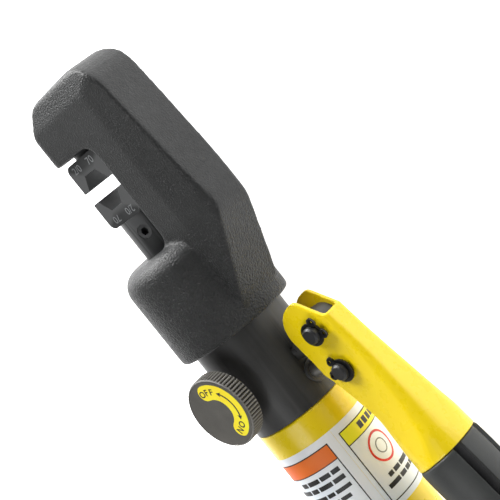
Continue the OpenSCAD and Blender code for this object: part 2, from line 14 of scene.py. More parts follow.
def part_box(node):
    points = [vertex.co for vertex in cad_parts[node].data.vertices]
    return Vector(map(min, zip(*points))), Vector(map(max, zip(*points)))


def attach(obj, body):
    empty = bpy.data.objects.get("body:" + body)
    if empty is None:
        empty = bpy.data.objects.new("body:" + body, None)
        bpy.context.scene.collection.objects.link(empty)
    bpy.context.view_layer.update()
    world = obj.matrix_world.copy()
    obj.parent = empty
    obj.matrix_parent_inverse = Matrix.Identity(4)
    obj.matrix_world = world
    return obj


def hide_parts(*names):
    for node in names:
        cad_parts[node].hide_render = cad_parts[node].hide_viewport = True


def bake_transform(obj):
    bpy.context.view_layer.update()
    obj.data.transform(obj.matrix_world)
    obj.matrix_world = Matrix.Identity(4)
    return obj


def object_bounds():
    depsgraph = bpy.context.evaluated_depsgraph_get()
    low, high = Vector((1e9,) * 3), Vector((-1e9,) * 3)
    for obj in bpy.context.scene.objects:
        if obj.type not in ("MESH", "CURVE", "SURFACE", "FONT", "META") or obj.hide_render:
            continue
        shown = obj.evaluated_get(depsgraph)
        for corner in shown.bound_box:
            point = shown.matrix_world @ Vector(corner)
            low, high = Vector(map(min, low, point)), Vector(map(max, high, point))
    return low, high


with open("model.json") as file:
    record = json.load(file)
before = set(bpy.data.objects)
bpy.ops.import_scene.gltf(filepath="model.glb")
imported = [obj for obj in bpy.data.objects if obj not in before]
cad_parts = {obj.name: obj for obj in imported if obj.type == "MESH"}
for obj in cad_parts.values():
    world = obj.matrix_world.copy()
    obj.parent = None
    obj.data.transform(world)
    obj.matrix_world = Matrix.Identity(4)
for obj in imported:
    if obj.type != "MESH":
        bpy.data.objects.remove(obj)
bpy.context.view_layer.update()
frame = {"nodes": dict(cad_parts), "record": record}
NODES = frame["nodes"]
MM = 0.001
TOOL = Matrix(((0, 0, MM, 0), (-MM, 0, 0, 0), (0, -MM, 0, 0), (0, 0, 0, 1)))


# ---------------------------------------------------------------- sizes read from the frame

def tool_box(node):
    """Lowest and highest corners of a node in tool coordinates, in millimetres."""
    low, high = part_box(node)
    inverse = TOOL.inverted()
    a, b = inverse @ Vector(low), inverse @ Vector(high)
    return Vector(map(min, a, b)), Vector(map(max, a, b))


def joint_point(name):
    """A joint's position in tool coordinates, in millimetres."""
    joint = next(j for j in frame["record"]["behaviour"]["joints"] if j["name"] == name)
    return TOOL.inverted() @ Vector(joint["pos_m"])


NECK_R = tool_box("pump_body")[1].x
BARREL_R = tool_box("barrel")[1].x
KNOB_LOW, KNOB_HIGH = tool_box("release_knob")
KNOB_R = KNOB_HIGH.x
KNOB_Z = (KNOB_LOW.z + KNOB_HIGH.z) / 2
KNOB_FACE = -KNOB_LOW.y
PIVOT = joint_point("lever_hinge")
PIN_LOW, PIN_HIGH = tool_box("drive_pin")
DRIVE = (PIN_LOW + PIN_HIGH) / 2
PIN_R = (PIN_HIGH.x - PIN_LOW.x) / 2
PIN_HALF = PIN_HIGH.y
SPLAY = math.radians(10)  # the lever's slope against the barrel
LEVER = TOOL @ Matrix.Translation((PIVOT.x, 0, PIVOT.z)) @ Matrix.Rotation(-SPLAY, 4, "Y")


# ---------------------------------------------------------------- node helpers for materials

def new_material(name):
    mat = bpy.data.materials.new(name)
    mat.use_nodes = True
    tree = mat.node_tree
    return mat, tree, tree.nodes["Principled BSDF"]


def add(tree, kind, inputs=None, **settings):
    """A new shader node; an input given as a socket is linked, any other value is set."""
    made = tree.nodes.new(kind)
    for key, value in settings.items():
        setattr(made, key, value)
    for key, value in (inputs or {}).items():
        if isinstance(value, bpy.types.NodeSocket):
            tree.links.new(value, made.inputs[key])
        else:
            made.inputs[key].default_value = value
    return made


def object_coords(tree, stretch=(1, 1, 1)):
    coords = add(tree, "ShaderNodeTexCoord")
    return add(tree, "ShaderNodeMapping", {"Vector": coords.outputs["Object"], "Scale": stretch}).outputs[0]


def noise(tree, vector, scale, detail=4.0, rough=0.55):
    return add(tree, "ShaderNodeTexNoise", {"Vector": vector, "Scale": scale, "Detail": detail,
                                            "Roughness": rough}).outputs["Fac"]


def ramp(tree, fac, stops):
    """A colour ramp with two stops, each (position, colour)."""
    made = add(tree, "ShaderNodeValToRGB", {"Fac": fac})
    for stop, (pos, colour) in zip(made.color_ramp.elements, stops):
        stop.position = pos
        stop.color = (*colour, 1)
    return made.outputs["Color"]


def spread(tree, fac, low, high, to_low, to_high):
    """Maps the range low, high to to_low, to_high and holds the ends."""
    made = add(tree, "ShaderNodeMapRange", {"Value": fac, "From Min": low, "From Max": high,
                                            "To Min": to_low, "To Max": to_high})
    return made.outputs["Result"]


def mix_colour(tree, fac, a, b):
    made = add(tree, "ShaderNodeMix", data_type="RGBA")
    for name, kind, value in (("Factor", "VALUE", fac), ("A", "RGBA", a), ("B", "RGBA", b)):
        socket = next(s for s in made.inputs if s.name == name and s.type == kind)
        if isinstance(value, bpy.types.NodeSocket):
            tree.links.new(value, socket)
        else:
            socket.default_value = (*value, 1)
    return next(s for s in made.outputs if s.type == "RGBA")


def bump(tree, shader, height, strength, distance, under=None):
    """A bump on the shader's normal, over another bump's normal where one is given."""
    inputs = {"Height": height, "Strength": strength, "Distance": distance}
    if under is not None:
        inputs["Normal"] = under
    made = add(tree, "ShaderNodeBump", inputs)
    tree.links.new(made.outputs[0], shader.inputs["Normal"])
    return made.outputs[0]


def edge_mask(tree, low, high):
    """Rises from 0 to 1 on outward edges."""
    geometry = add(tree, "ShaderNodeNewGeometry")
    return spread(tree, geometry.outputs["Pointiness"], low, high, 0.0, 1.0)


PEBBLES_FROM = -0.030  # where the collar's pebbly skin begins and is full, in metres along the tool
PEBBLES_FULL = -0.046


def powder_coat(name, colour, rough):
    """Baked-on powder paint: a fine leathery skin, pebbly on the collar and worn lighter on edges."""
    mat, tree, shader = new_material(name)
    where = object_coords(tree)
    mottle = noise(tree, where, 60, 3)
    lighter = tuple(c * 1.35 + 0.002 for c in colour)
    base = mix_colour(tree, spread(tree, mottle, 0.3, 0.7, 0, 1), colour, lighter)
    worn = mix_colour(tree, edge_mask(tree, 0.56, 0.70), base, tuple(c * 1.6 + 0.004 for c in colour))
    tree.links.new(worn, shader.inputs["Base Color"])
    tree.links.new(spread(tree, noise(tree, where, 500, 3), 0.3, 0.7, rough - 0.06, rough + 0.08),
                   shader.inputs["Roughness"])
    along = add(tree, "ShaderNodeSeparateXYZ", {0: where})
    on_collar = spread(tree, along.outputs["X"], PEBBLES_FROM, PEBBLES_FULL, 0.12, 1.0)
    pebbles = add(tree, "ShaderNodeTexVoronoi", {"Vector": where, "Scale": 1150, "Smoothness": 0.5},
                  feature="SMOOTH_F1")
    coarse = add(tree, "ShaderNodeBump", {"Height": pebbles.outputs["Distance"], "Strength": on_collar,
                                          "Distance": 0.00042})
    fine = bump(tree, shader, noise(tree, where, 1500, 2, 0.5), 0.8, 0.0004, coarse.outputs[0])
    bump(tree, shader, noise(tree, where, 3200, 2), 0.5, 0.0001, fine)
    shader.inputs["Specular IOR Level"].default_value = 0.45
    return mat


def gloss_paint(name, colour, deep, rough):
    """Sprayed enamel: slight orange peel, a little colour drift, specks of dust and thin edges."""
    mat, tree, shader = new_material(name)
    where = object_coords(tree)
    drift = mix_colour(tree, spread(tree, noise(tree, where, 28, 3), 0.35, 0.65, 0, 1), colour, deep)
    specks = ramp(tree, noise(tree, where, 900, 2), [(0.70, (0, 0, 0)), (0.76, (1, 1, 1))])
    dusty = mix_colour(tree, spread(tree, specks, 0, 1, 0, 0.25), drift, tuple(c * 0.35 for c in deep))
    thin = mix_colour(tree, spread(tree, edge_mask(tree, 0.56, 0.66), 0, 1, 0, 0.35), dusty,
                      tuple(c * 0.55 for c in deep))
    tree.links.new(thin, shader.inputs["Base Color"])
    tree.links.new(spread(tree, noise(tree, where, 220, 3), 0.3, 0.7, rough - 0.05, rough + 0.08),
                   shader.inputs["Roughness"])
    bump(tree, shader, noise(tree, where, 420, 2), 0.07, 0.0003)
    shader.inputs["Coat Weight"].default_value = 0.25
    shader.inputs["Coat Roughness"].default_value = 0.12
    return mat


def turned_metal(name, colour, metallic, rough, stretch, depth=0.00006):
    """Machined surface: fine tool lines across one axis, smudges and brighter edges."""
    mat, tree, shader = new_material(name)
    lines = noise(tree, object_coords(tree, stretch), 900, 4, 0.7)
    smudge = noise(tree, object_coords(tree), 90, 4)
    lighter = tuple(min(1, c * 1.35 + 0.01) for c in colour)
    base = mix_colour(tree, spread(tree, smudge, 0.35, 0.65, 0, 1), colour, lighter)
    wear_and_painted_light = tuple(min(1, c * 1.9 + 0.05) for c in colour)
    worn = mix_colour(tree, edge_mask(tree, 0.53, 0.60), base, wear_and_painted_light)
    tree.links.new(worn, shader.inputs["Base Color"])
    tree.links.new(spread(tree, smudge, 0.3, 0.7, rough - 0.06, rough + 0.08), shader.inputs["Roughness"])
    shader.inputs["Metallic"].default_value = metallic
    bump(tree, shader, lines, 0.35, depth)
    return mat


def moulded(name, colour, rough, grain=1500, depth=0.00012, wear_and_painted_light=False):
    """Moulded rubber or plastic: a satin skin with fine pits; where asked, painted shade darkens its hollows
    and painted highlights lighten its outward edges.
    """
    mat, tree, shader = new_material(name)
    where = object_coords(tree)
    bloom = noise(tree, where, 45, 4)
    lighter = tuple(min(0.95, c * 1.6 + 0.006) for c in colour)
    base = mix_colour(tree, spread(tree, bloom, 0.35, 0.7, 0, 1), colour, lighter)
    if wear_and_painted_light:
        # painted shade darkens the hollows, then painted highlights lighten the outward edges
        base = mix_colour(tree, edge_mask(tree, 0.49, 0.42), base, tuple(c * 0.12 for c in colour))
        base = mix_colour(tree, edge_mask(tree, 0.51, 0.57), base, tuple(c * 1.8 + 0.06 for c in colour))
    tree.links.new(base, shader.inputs["Base Color"])
    tree.links.new(spread(tree, bloom, 0.3, 0.7, rough - 0.05, rough + 0.08), shader.inputs["Roughness"])
    bump(tree, shader, noise(tree, where, grain, 3), 0.4, depth)
    return mat


MATERIALS = {
    "head_coat": powder_coat("head_coat", (0.0125, 0.0131, 0.0131), 0.46),
    "body_black": turned_metal("body_black", (0.0030, 0.0030, 0.0026), 0.0, 0.42, (1, 0.03, 0.03)),
    "yellow_paint": gloss_paint("yellow_paint", (0.945, 0.712, 0.005), (0.94, 0.69, 0.0045), 0.28),
    "die_steel": turned_metal("die_steel", (0.019, 0.020, 0.0205), 0.3, 0.44, (1, 1, 0.05)),
    "bright_steel": turned_metal("bright_steel", (0.50, 0.49, 0.47), 1.0, 0.28, (0.05, 1, 0.05)),
    "pin_steel": turned_metal("pin_steel", (0.026, 0.027, 0.028), 0.5, 0.38, (1, 1, 1)),
    "spring_steel": turned_metal("spring_steel", (0.012, 0.012, 0.012), 0.7, 0.34, (1, 1, 1)),
    "brass_fitting": turned_metal("brass_fitting", (0.60, 0.44, 0.17), 1.0, 0.3, (1, 1, 1)),
    # the knob's plastic gets painted shade in its rib grooves and painted highlights on its edges
    "knob_plastic": moulded("knob_plastic", (0.066, 0.062, 0.054), 0.55, 1900, 0.0002, True),
    "face_plastic": moulded("face_plastic", (0.066, 0.062, 0.054), 0.55, 1900, 0.0002),
    "decal_yellow": moulded("decal_yellow", (0.92, 0.72, 0.008), 0.4, 2500, 0.00004),
    "label_sheet": moulded("label_sheet", (0.84, 0.90, 0.95), 0.45, 2200, 0.00003),
    "grip_rubber": moulded("grip_rubber", (0.030, 0.032, 0.031), 0.5),
    "seal_rubber": moulded("seal_rubber", (0.012, 0.012, 0.012), 0.5),
    "cap_plastic": moulded("cap_plastic", (0.016, 0.016, 0.017), 0.45),
    "grip_gloss": moulded("grip_gloss", (0.004, 0.004, 0.0045), 0.22, 900, 0.00005),
    "print_black": moulded("print_black", (0.012, 0.012, 0.012), 0.45, 2500, 0.00003),
    "print_orange": moulded("print_orange", (0.84, 0.135, 0.008), 0.5, 2500, 0.00003),
    "print_yellow": moulded("print_yellow", (0.94, 0.80, 0.012), 0.45, 2500, 0.00003),
    "print_red": moulded("print_red", (0.55, 0.02, 0.015), 0.4, 2500, 0.00003),
    "mark_grey": moulded("mark_grey", (0.16, 0.165, 0.17), 0.5, 2500, 0.00003),
}
SLOTS = {row["node"]: row["material_slot"] for row in frame["record"]["subparts"]}
for node, slot_name in SLOTS.items():
    NODES[node].data.materials.clear()
    NODES[node].data.materials.append(MATERIALS[slot_name])


# ---------------------------------------------------------------- mesh helpers

def placed(name, data):
    """A new object, linked into the scene."""
    obj = bpy.data.objects.new(name, data)
    bpy.context.scene.collection.objects.link(obj)
    return obj


def piece(name, mesh, body, material, replaced=()):
    """Puts a finished mesh in the scene on one body."""
    obj = placed(name, mesh)
    mesh.materials.clear()
    mesh.materials.append(MATERIALS[material])
    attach(obj, body)
    if replaced:
        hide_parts(*replaced)


def mesh_of(bm, name):
    bmesh.ops.recalc_face_normals(bm, faces=bm.faces)
    mesh = bpy.data.meshes.new(name)
    bm.to_mesh(mesh)
    bm.free()
    return mesh


def smooth_shaded(mesh, sharp_deg):
    """Smooth shading that stays sharp across edges steeper than an angle."""
    mesh.shade_smooth()
    mesh.set_sharp_from_angle(angle=math.radians(sharp_deg))
    return mesh


def finished(bm, name, matrix=TOOL, sharp_deg=35):
    """Turns a bmesh in tool or lever millimetres into a smooth-shaded mesh in the row's frame."""
    bm.transform(matrix)
    return smooth_shaded(mesh_of(bm, name), sharp_deg)


def solid_of(bm, name):
    """A throwaway object that carries a bmesh through a modifier."""
    return placed(name, mesh_of(bm, name))


def applied(obj):
    """The mesh after the object's modifiers; the object itself is removed."""
    graph = bpy.context.evaluated_depsgraph_get()
    mesh = bpy.data.meshes.new_from_object(obj.evaluated_get(graph))
    bpy.data.objects.remove(obj)
    return mesh


def bevelled(obj, width, segments):
    """The object's mesh with its sharp edges rounded; the object itself is removed."""
    bevel = obj.modifiers.new("bevel", "BEVEL")
    bevel.width = width
    bevel.segments = segments
    bevel.limit_method = "ANGLE"
    bevel.angle_limit = math.radians(40)
    return applied(obj)


def melted(obj, voxel, passes):
    """The object's mesh with corners melted round as on a casting; the object itself is removed."""
    remesh = obj.modifiers.new("remesh", "REMESH")
    remesh.mode = "VOXEL"
    remesh.voxel_size = voxel
    smooth = obj.modifiers.new("smooth", "SMOOTH")
    smooth.factor = 0.6
    smooth.iterations = passes
    return applied(obj)


def cut(obj, other, operation):
    mod = obj.modifiers.new(operation, "BOOLEAN")
    mod.operation = operation
    mod.solver = "EXACT"
    mod.object = other


def loft(rings):
    """A closed skin through rings of points, each ring closed on itself."""
    bm = bmesh.new()
    rows = [[bm.verts.new(p) for p in ring] for ring in rings]
    count = len(rings[0])
    for a, b in zip(rows, rows[1:]):
        for i in range(count):
            j = (i + 1) % count
            bm.faces.new((a[i], a[j], b[j], b[i]))
    bm.faces.new(rows[0])
    bm.faces.new(rows[-1][::-1])
    return bm


def plate(outline, near, far):
    """A flat plate from (x, z) points, between two depths along y."""
    return loft([[(x, y, z) for x, z in outline] for y in (near, far)])


def at(radius, degrees):
    """A point on a circle round the origin."""
    t = math.radians(degrees)
    return radius * math.cos(t), radius * math.sin(t)


def arc(radius, start, end, steps, centre=(0.0, 0.0)):
    """Points along part of a circle, angles in degrees."""
    points = [at(radius, start + (end - start) * k / steps) for k in range(steps + 1)]
    return [(centre[0] + x, centre[1] + y) for x, y in points]


def wrapped_sheet(name, rows, thickness, matrix=TOOL, closed=False, sharp_deg=30):
    """A thin sheet through rows of points round the z axis, thickened away from that axis."""
    bm = bmesh.new()
    grid = [[bm.verts.new(p) for p in row] for row in rows]
    count = len(rows[0])
    for a, b in zip(grid, grid[1:]):
        for k in range(count if closed else count - 1):
            j = (k + 1) % count
            bm.faces.new((a[k], a[j], b[j], b[k]))
    grown = bmesh.ops.extrude_face_region(bm, geom=list(bm.faces))
    for v in grown["geom"]:
        if isinstance(v, bmesh.types.BMVert):
            reach = math.hypot(v.co.x, v.co.y)
            v.co.x *= (reach + thickness) / reach
            v.co.y *= (reach + thickness) / reach
    return finished(bm, name, matrix, sharp_deg)


def revolve(profile, segments, axis="z", wobble=None):
    """Rings of (radius, height) points turned round the z or y axis; wobble shifts the radius."""
    rings = []
    for k, (radius, height) in enumerate(profile):
        ring = []
        for i in range(segments):
            t = 2 * math.pi * i / segments
            r = radius + (wobble(k, i) if wobble else 0)
            a, b = r * math.cos(t), r * math.sin(t)
            ring.append((a, b, height) if axis == "z" else (a, height, b))
        rings.append(ring)
    return loft(rings)


def rounded_outline(corners, steps=8):
    """Closed outline through (across, along, radius) corners, each rounded by a tangent arc."""
    out = []
    n = len(corners)
    for i, (cx, cy, r) in enumerate(corners):
        corner = Vector((cx, cy))
        back = (Vector(corners[i - 1][:2]) - corner).normalized()
        ahead = (Vector(corners[(i + 1) % n][:2]) - corner).normalized()
        half = back.angle(ahead) / 2
        centre = corner + (back + ahead).normalized() * r / math.sin(half)
        first = (corner + back * r / math.tan(half) - centre).normalized()
        last = (corner + ahead * r / math.tan(half) - centre).normalized()
        for k in range(steps + 1):
            out.append(centre + first.slerp(last, k / steps) * r)
    return out


def stations(table, w):
    """Smooth curve through (position, value) pairs, read at w."""
    if w <= table[0][0]:
        return table[0][1]
    if w >= table[-1][0]:
        return table[-1][1]

    def slope(k):
        a, b = table[max(k - 1, 0)], table[min(k + 1, len(table) - 1)]
        return (b[1] - a[1]) / (b[0] - a[0])

    k = max(i for i, (position, _) in enumerate(table) if position <= w)
    (a, va), (b, vb) = table[k], table[k + 1]
    t = (w - a) / (b - a)
    rise, run = slope(k) * (b - a), slope(k + 1) * (b - a)
    return (va * (2 * t ** 3 - 3 * t ** 2 + 1) + rise * (t ** 3 - 2 * t ** 2 + t)
            + vb * (3 * t ** 2 - 2 * t ** 3) + run * (t ** 3 - t ** 2))


# ---------------------------------------------------------------- head casting, eased pieces and ram spring

HEAD_VOXEL = 0.0006
HEAD_PASSES = 14


def build_head():
    mesh = melted(placed("head_copy", NODES["head_frame"].data.copy()), HEAD_VOXEL, HEAD_PASSES)
    mesh.shade_smooth()
    piece("head_casting", mesh, "tool_body", "head_coat", replaced=("head_frame",))


def eased(node, body, width, material=None):
    """A copy of a CAD node with its sharp edges rounded to a width in millimetres."""
    mesh = bevelled(placed("eased", NODES[node].data.copy()), width * MM, 3)
    piece(node + "_eased", smooth_shaded(mesh, 20), body, material or SLOTS[node], (node,))


def build_spring():
    """The ram's spring again: a copy of its mesh baked in place, with the imported one hidden."""
    obj = placed("ram_spring_coil", NODES["ram_spring"].data.copy())
    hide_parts("ram_spring")
    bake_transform(obj)


build_head()
eased("upper_die", "tool_body", 0.35)
eased("lower_die", "ram_body", 0.35)
eased("ram_set_screw", "ram_body", 0.35)
eased("plunger", "plunger_body", 0.6, "bright_steel")
eased("plunger_gland", "tool_body", 0.3, "body_black")
eased("pivot_lug", "tool_body", 0.4, "body_black")
build_spring()


# ---------------------------------------------------------------- release knob and die marks

FACE_R = KNOB_R - 1.3
FACE_SUNK = 0.3  # the printed face below the knob's rim
KNOB_T = 7.0
RIBS = 64
RIB_WAVE = (0.05, -0.15, -0.95, -0.15)  # radius across one rib and its groove
DECAL_R = 9.8
DECAL_HALF = 3.4
DECAL_FROM = -65.0
DECAL_TO = 90.0
ARROW_FROM = -36.0
ARROW_TO = 54.0
DIE_SEAT = 15.3  # seated edge of either die, from the middle of the nest
DIE_MARK_DOWN = 3.1
PRINT_HALF_T = 0.02


def build_knob():
    """The knob: a short hub behind, ribs round its rim and a shallow raised lip round its face."""
    rim_r = FACE_R + 1.2
    face = -KNOB_FACE
    back = face + KNOB_T
    profile = [(5.2, -NECK_R - 2.0), (5.4, back + 0.6), (6.4, back),
               (rim_r - 1.2, back), (rim_r - 0.3, back - 0.3)]
    first_rib = len(profile)
    profile += [(rim_r, back - 0.6), (rim_r, back - 2.5), (rim_r, face + 2.4), (rim_r, face + 0.65)]
    last_rib = len(profile)
    profile += [(rim_r - 0.15, face + 0.55), (rim_r - 0.5, face + 0.2), (rim_r - 0.65, face + 0.2),
                (rim_r - 0.8, face + FACE_SUNK), (rim_r - 1.3, face + FACE_SUNK), (0.6, face + FACE_SUNK)]

    def wobble(k, i):
        return RIB_WAVE[i % len(RIB_WAVE)] if first_rib <= k < last_rib else 0.0

    bm = revolve(profile, RIBS * len(RIB_WAVE), "y", wobble)
    bm.transform(Matrix.Translation((0, 0, KNOB_Z)))
    piece("knob_ribbed", finished(bm, "knob_ribbed", sharp_deg=28), "release_valve", "knob_plastic",
          replaced=("release_knob",))


def knob_plate(name, outline, material, lift, thickness=0.2, replaced=()):
    """A thin printed plate on the knob's face, from points (right, up) as seen from the front."""
    front = -KNOB_FACE + FACE_SUNK - lift
    bm = plate(outline, front + thickness, front)
    bm.transform(Matrix.Translation((0, 0, KNOB_Z)))
    piece(name, finished(bm, name), "release_valve", material, replaced)


def decal_outline():
    """A curved band with rounded ends, angles in degrees from +x towards +z."""
    outer, inner = DECAL_R + DECAL_HALF, DECAL_R - DECAL_HALF
    return (arc(outer, DECAL_FROM, DECAL_TO, 28)
            + arc(DECAL_HALF, DECAL_TO, DECAL_TO + 180, 8, at(DECAL_R, DECAL_TO))[1:-1]
            + arc(inner, DECAL_TO, DECAL_FROM, 28)
            + arc(DECAL_HALF, DECAL_FROM + 180, DECAL_FROM + 360, 8, at(DECAL_R, DECAL_FROM))[1:-1])


def arrow_outline():
    """A thin double-headed curved arrow along the decal."""
    half, wing, head, barb = 0.34, 1.15, 10, 2
    low, high = ARROW_FROM + head, ARROW_TO - head
    tip = [at(DECAL_R + wing, high - barb), at(DECAL_R, ARROW_TO), at(DECAL_R - wing, high - barb)]
    tail = [at(DECAL_R - wing, low + barb), at(DECAL_R, ARROW_FROM), at(DECAL_R + wing, low + barb)]
    return arc(DECAL_R + half, low, high, 24) + tip + arc(DECAL_R - half, high, low, 24) + tail


def letters(text, size, weight=0.0):
    """Flat solid letters centred on the origin, in millimetres, lying in the x-y plane."""
    curve = bpy.data.curves.new("letter", "FONT")
    curve.body = text
    curve.size = size
    curve.extrude = PRINT_HALF_T
    curve.offset = weight
    curve.align_x = "CENTER"
    curve.align_y = "CENTER"
    return applied(placed("letter", curve))


FACING_FRONT = Matrix(((1, 0, 0, 0), (0, 0, -1, 0), (0, 1, 0, 0), (0, 0, 0, 1)))


def knob_word(text, angles):
    """A plain control mark, its letters standing round the knob's face with their tops outwards."""
    for k, (letter, degrees) in enumerate(zip(text, angles)):
        mesh = letters(letter, 3.9, 0.075)
        x, z = at(DECAL_R, degrees)
        place = Matrix.Translation((x, -KNOB_FACE + 0.21, KNOB_Z + z))
        mesh.transform(TOOL @ place @ FACING_FRONT @ Matrix.Rotation(math.radians(degrees - 90), 4, "Z"))
        piece("mark_%s_%d" % (text.lower(), k), mesh, "release_valve", "print_black")


def die_marks(node, body, turned):
    """Crimp sizes on a die's front face, beside its seated edge; the lower die's stand upside down."""
    way = -1 if turned else 1
    front = tool_box(node)[0].y
    for text, along in (("2/0", -5.2), ("70", 4.8)):
        mesh = letters(text, 4.4)
        turn = Matrix.Rotation(math.pi if turned else 0, 4, "Z")
        place = Matrix.Translation((way * along, front - 0.01, way * (DIE_SEAT - DIE_MARK_DOWN)))
        mesh.transform(TOOL @ place @ FACING_FRONT @ turn)
        side = "left" if way * along < 0 else "right"
        piece("size_%s_%s" % (node, side), mesh, body, "mark_grey")


die_marks("upper_die", "tool_body", False)
die_marks("lower_die", "ram_body", True)
build_knob()
knob_plate("knob_face", arc(FACE_R, 0, 360, 96)[:-1], "face_plastic", 0.03)
knob_plate("decal_arc", decal_outline(), "decal_yellow", 0.08, replaced=("knob_decal",))
knob_plate("decal_arrow", arrow_outline(), "print_black", 0.11, 0.08)
knob_word("OFF", (98.5, 83, 68))
knob_word("ON", (-50, -70))


# ---------------------------------------------------------------- lever

# The folded channel's section along the lever: half its width, the radius of its two folds, the height of
# its back, the depth of its open side and the radius there, as (distance from the pivot, size) pairs.
HALF_WIDTH = [(-20, 5.75), (0, 5.75), (12, 5.8), (22, 6.4), (31, 7.3), (41, 8.5), (50, 10.1), (58, 12.0),
              (66, 13.9)]
FOLD_R = [(-20, 2.7), (8, 2.9), (22, 3.5), (41, 5.0), (55, 8.0), (62, 11.5), (66, 13.5)]
OUTER_U = [(-20, 10.8), (-2, 10.9), (10, 11.6), (22, 12.2), (41, 12.8), (55, 13.3), (66, 14.0)]
INNER_U = [(-20, -16), (10, -15.6), (20, -12.6), (31, -9.7), (40, -8.3), (50, -10.0), (58, -12.0),
           (66, -14.0)]
LIP_R = [(-20, 0.3), (31, 0.5), (41, 2.2), (50, 5.0), (58, 9.0), (63, 12.0), (66, 13.5)]
SHEET = 1.8
OPEN_SIDE = -26.0  # how far the slot in the open side is cut, beyond any flange
CHANNEL_VOXEL = 0.36
CHANNEL_PASSES = 7
SLEEVE_R = 14.15
GROOVE_AT = 29.0  # the sleeve's grooves lie this many degrees either side of its back
GROOVE_DEPTH = 1.1
GROOVE_STRIP_T = 0.2


def channel_ring(w, inset, open_back):
    """Section of the channel at a distance from the pivot, drawn inwards by the inset."""
    half = stations(HALF_WIDTH, w) - inset
    fold = max(0.4, stations(FOLD_R, w) - inset)
    outer = stations(OUTER_U, w) - inset
    inner = OPEN_SIDE if open_back else stations(INNER_U, w) + inset
    lip = 0.2 if open_back else max(0.2, stations(LIP_R, w) - inset)
    corners = [(outer, -half, fold), (outer, half, fold), (inner, half, lip), (inner, -half, lip)]
    ring = rounded_outline(corners, 7)
    return [(p.x, p.y, -w) for p in ring]


def lever_prism():
    """Side outline of the ears and flanges, as a prism across the lever."""
    outline = rounded_outline([
        (-14.4, 14.0, 12.0), (1.6, 13.9, 3.2), (9.3, 2.1, 1.8), (20, 1.9, 0.5),
        (20, -66.0, 0.5), (-20, -66.0, 0.5), (-20, -40, 0.5), (-14.4, -14, 6.0)], 8)
    return plate(outline, -30, 30)


def build_channel():
    """The channel: a lofted solid trimmed to its side outline, hollowed, and melted round at its folds."""
    outer = solid_of(loft([channel_ring(w, 0, False) for w in range(-18, 67, 2)]), "channel_outer")
    slot = solid_of(loft([channel_ring(w, SHEET, True) for w in range(-20, 47, 2)]), "channel_slot")
    bore = solid_of(loft([channel_ring(w, SHEET, False) for w in range(40, 71, 2)]), "channel_bore")
    side = solid_of(lever_prism(), "channel_side")
    cut(outer, side, "INTERSECT")
    cut(outer, slot, "DIFFERENCE")
    cut(outer, bore, "DIFFERENCE")
    mesh = applied(outer)
    for helper in (slot, bore, side):
        bpy.data.objects.remove(helper)
    mesh = melted(placed("channel_round", mesh), CHANNEL_VOXEL, CHANNEL_PASSES)
    mesh.transform(LEVER)
    mesh.shade_smooth()
    piece("lever_folded", mesh, "lever", "yellow_paint", replaced=("lever_channel",))


def grip_ring(w, swell, groove):
    """Section of the rubber sleeve: a soft round with a flat-bottomed groove either side of its back."""
    half_groove, bank = 9, 1.6
    ring = []
    for degrees in range(0, 360, 2):
        off = abs(min(degrees, 360 - degrees) - GROOVE_AT)
        sunk = groove * min(1.0, (half_groove - off) / bank) if off < half_groove else 0
        ring.append((*at(SLEEVE_R + swell - sunk, degrees), -w))
    return ring


def sleeve_swell(w):
    """How far the sleeve stands out at w: a slight barrel shape with shallow waves."""
    t = min(1.0, max(0.0, (w - 67) / 126))
    return 0.2 + 0.4 * math.sin(t * math.pi) + 0.12 * math.sin(w * 0.2) * min(1.0, t * 12)


def build_lever_grip():
    """The rubber sleeve, from stops of (distance, swell, groove depth), and a gloss strip in each groove."""
    middle = [68.5 + k * 3.15 for k in range(41)]
    stops = [(66.1, -1.0, 0.3), (66.35, -0.3, 0.9), (67, 0.1, GROOVE_DEPTH)]
    stops += [(w, sleeve_swell(w), GROOVE_DEPTH) for w in middle]
    stops += [(196.5, 0.5, GROOVE_DEPTH), (198.5, 0.7, 0.5), (200, 0.8, 0), (202.5, 0.7, 0),
              (204.3, 0.1, 0), (205.3, -1.2, 0), (205.9, -3.4, 0)]
    bm = loft([grip_ring(w, swell, groove) for w, swell, groove in stops])
    piece("lever_sleeve", finished(bm, "lever_sleeve", LEVER, 40), "lever", "grip_rubber",
          replaced=("lever_grip",))
    # a near-black gloss strip lies along the bottom of each groove and makes the groove dark
    for side, name in ((-1, "sleeve_groove_strip_front"), (1, "sleeve_groove_strip_back")):
        turns = [side * GROOVE_AT + k * 1.8 for k in range(-4, 5)]
        rows = [[(*at(SLEEVE_R + swell - groove - GROOVE_STRIP_T / 2, turn), -w) for turn in turns]
                for w, swell, groove in stops[1:45]]
        mesh = wrapped_sheet("sleeve_groove_strip", rows, GROOVE_STRIP_T, LEVER, sharp_deg=40)
        piece(name, mesh, "lever", "grip_gloss")


def build_tube():
    """Tube inside the sleeve, its end drawn down to fit the folded channel."""
    profile = [(0.5, -201), (12.2, -201), (12.2, -66), (10.6, -61), (9.4, -56), (0.5, -56)]
    piece("lever_tube_drawn", finished(revolve(profile, 64), "lever_tube_drawn", LEVER, 30), "lever",
          "body_black", replaced=("lever_tube",))


build_tube()
build_channel()
build_lever_grip()


# ---------------------------------------------------------------- pins and circlips

CLIP_Y = 7.4
CLIP_T = 0.95
CLIP_BEVEL = 0.14
LUG_HOLE = (3.1, 4.6, 0.62)  # across, up and radius


def build_pin(name, centre, node):
    """A pin with chamfered ends and a groove for each circlip."""
    r, h = PIN_R, PIN_HALF
    half = [(r, 6.8), (r - 0.5, 6.9), (r - 0.5, 7.9), (r, 8.0), (r, h - 0.72), (r - 0.05, h - 0.65),
            (r - 0.7, h), (r - 0.75, h), (r - 1.1, h)]
    bm = revolve([(radius, -depth) for radius, depth in half[::-1]] + half, 64, "y")
    bm.transform(Matrix.Translation((centre.x, 0, centre.z)))
    piece(name, finished(bm, name, sharp_deg=30), "lever", "pin_steel", replaced=(node,))


